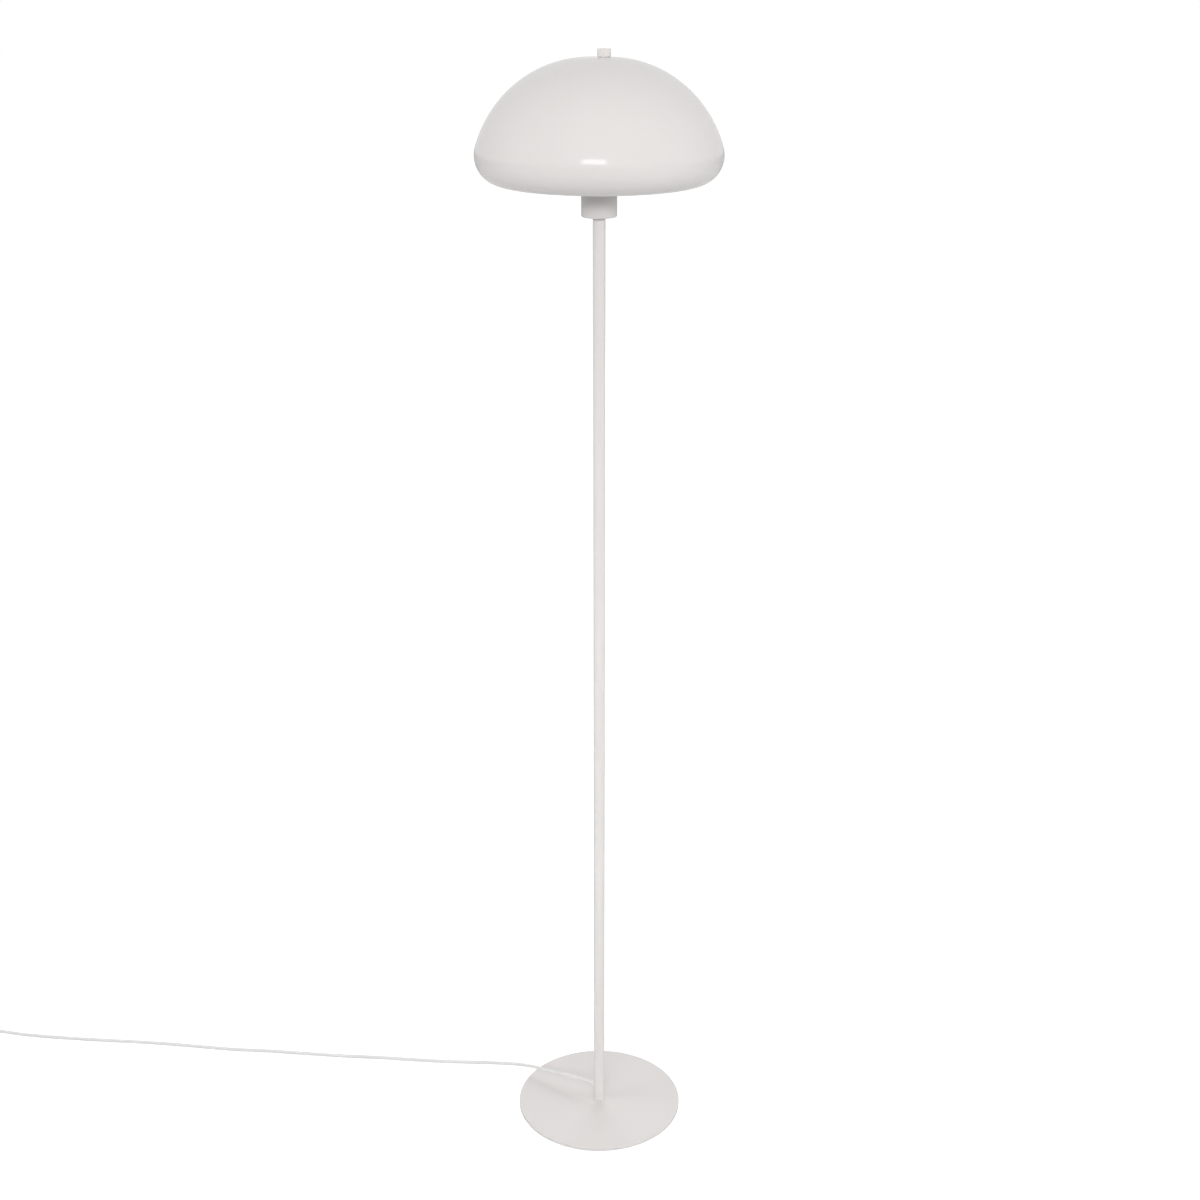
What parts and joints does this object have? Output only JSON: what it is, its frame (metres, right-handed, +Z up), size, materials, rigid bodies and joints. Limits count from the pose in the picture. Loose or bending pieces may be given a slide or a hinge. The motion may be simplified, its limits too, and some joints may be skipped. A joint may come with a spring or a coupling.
{
  "type": "mushroom floor lamp",
  "caption": "Floor lamp with a domed metal shade held by a finial over a strap bracket, a slim straight pole on a flat round base, and a lead with foot switch and plug.",
  "frame": {"origin": "on the floor, on the pole's axis, at the centre of the round base", "axes": "+Z up along the pole, -Y towards the front, and the cord leaves towards -X"},
  "size_m": [1.3211, 0.3673, 1.5174],
  "materials": {
    "lamp_white": "warm off-white gloss enamel on the base, pole, cup, shade and finial",
    "steel": "plain zinc-plated steel of the hidden bushes, couplers, screws and bracket",
    "pad_felt": "grey felt",
    "cord_white": "soft white plastic cord sheath",
    "fitting_white": "white moulded plastic of the switch, plug and grommet",
    "holder_white": "white heat-proof plastic lampholder",
    "block_cream": "cream heat-proof plastic",
    "contact_brass": "plain brass",
    "shell_metal": "thin drawn aluminium",
    "bulb_frosted": "frosted white glass",
    "insulator_black": "black glass",
    "washer_clear": "grey-white plastic washer",
    "wire_brown": "brown wire sheath",
    "spring_steel": "bright spring wire"
  },
  "bodies": {
    "stand": {"base_pad": "pad_felt", "base_plate": "lamp_white", "base_screw": "steel", "pole_lower": "lamp_white", "pole_middle": "lamp_white", "pole_upper": "lamp_white", "pole_foot_bush": "steel", "pole_coupler_lower": "steel", "pole_coupler_upper": "steel", "pole_top_bush": "steel", "cable_grommet": "fitting_white", "pole_cable": "cord_white", "top_spacer": "lamp_white", "cup": "lamp_white", "nipple": "steel", "lock_washer": "steel", "nipple_nut": "steel", "holder_cap": "holder_white", "holder_sleeve": "holder_white", "contact_block": "block_cream", "terminal_screws": "contact_brass", "wire_ends": "wire_brown", "centre_contact": "contact_brass", "side_contact": "contact_brass", "threaded_shell": "shell_metal", "shade_bracket": "lamp_white", "bracket_stud": "steel", "seat_washer": "washer_clear", "cord_lead": "cord_white", "cord_middle": "cord_white", "cord_coil": "cord_white", "cord_end": "cord_white", "switch_base": "fitting_white", "switch_cover": "fitting_white", "switch_screws": "steel", "switch_spring": "spring_steel", "switch_block": "fitting_white", "switch_contacts": "contact_brass", "switch_sleeves": "cord_white", "plug_sleeve": "cord_white", "plug_body": "fitting_white", "plug_pins": "shell_metal", "pin_sleeves": "fitting_white"},
    "shade": {"shade": "lamp_white"},
    "finial_washer": {"finial_washer": "washer_clear"},
    "finial": {"finial": "lamp_white"},
    "bulb_tip": {"bulb_tip": "contact_brass"},
    "bulb": {"bulb_insulator": "insulator_black", "bulb_cap": "shell_metal", "bulb_glass": "bulb_frosted"},
    "switch_button": {"switch_button": "fitting_white"}
  },
  "joints": [
    {"name": "shade_lift", "type": "slide", "parent": "stand", "child": "shade", "axis": [0, 0, 1], "range_m": [0, 0.16]},
    {"name": "finial_rise", "type": "slide", "parent": "shade", "child": "finial_washer", "axis": [0, 0, 1], "range_m": [0, 0.00652]},
    {"name": "finial_turn", "type": "hinge", "parent": "finial_washer", "child": "finial", "pos_m": [0.006, 0, 1.5084], "axis": [0, 0, 1], "range_deg": [0, 2340]},
    {"name": "bulb_rise", "type": "slide", "parent": "stand", "child": "bulb_tip", "axis": [0, 0, 1], "range_m": [0, 0.0218]},
    {"name": "bulb_turn", "type": "hinge", "parent": "bulb_tip", "child": "bulb", "pos_m": [0, 0, 1.36], "axis": [0, 0, 1], "range_deg": [0, 2160]},
    {"name": "switch_press", "type": "slide", "parent": "stand", "child": "switch_button", "axis": [0, 0, -1], "range_m": [0, 0.0035], "stiffness_N_per_m": 900, "springref_m": -0.002, "deforming": ["switch_spring"]}
  ],
  "couplings": [
    {"joint": "finial_rise", "follows": "finial_turn", "m_per_rad": 0.00015915},
    {"joint": "bulb_rise", "follows": "bulb_turn", "m_per_rad": 0.00057773}
  ]
}
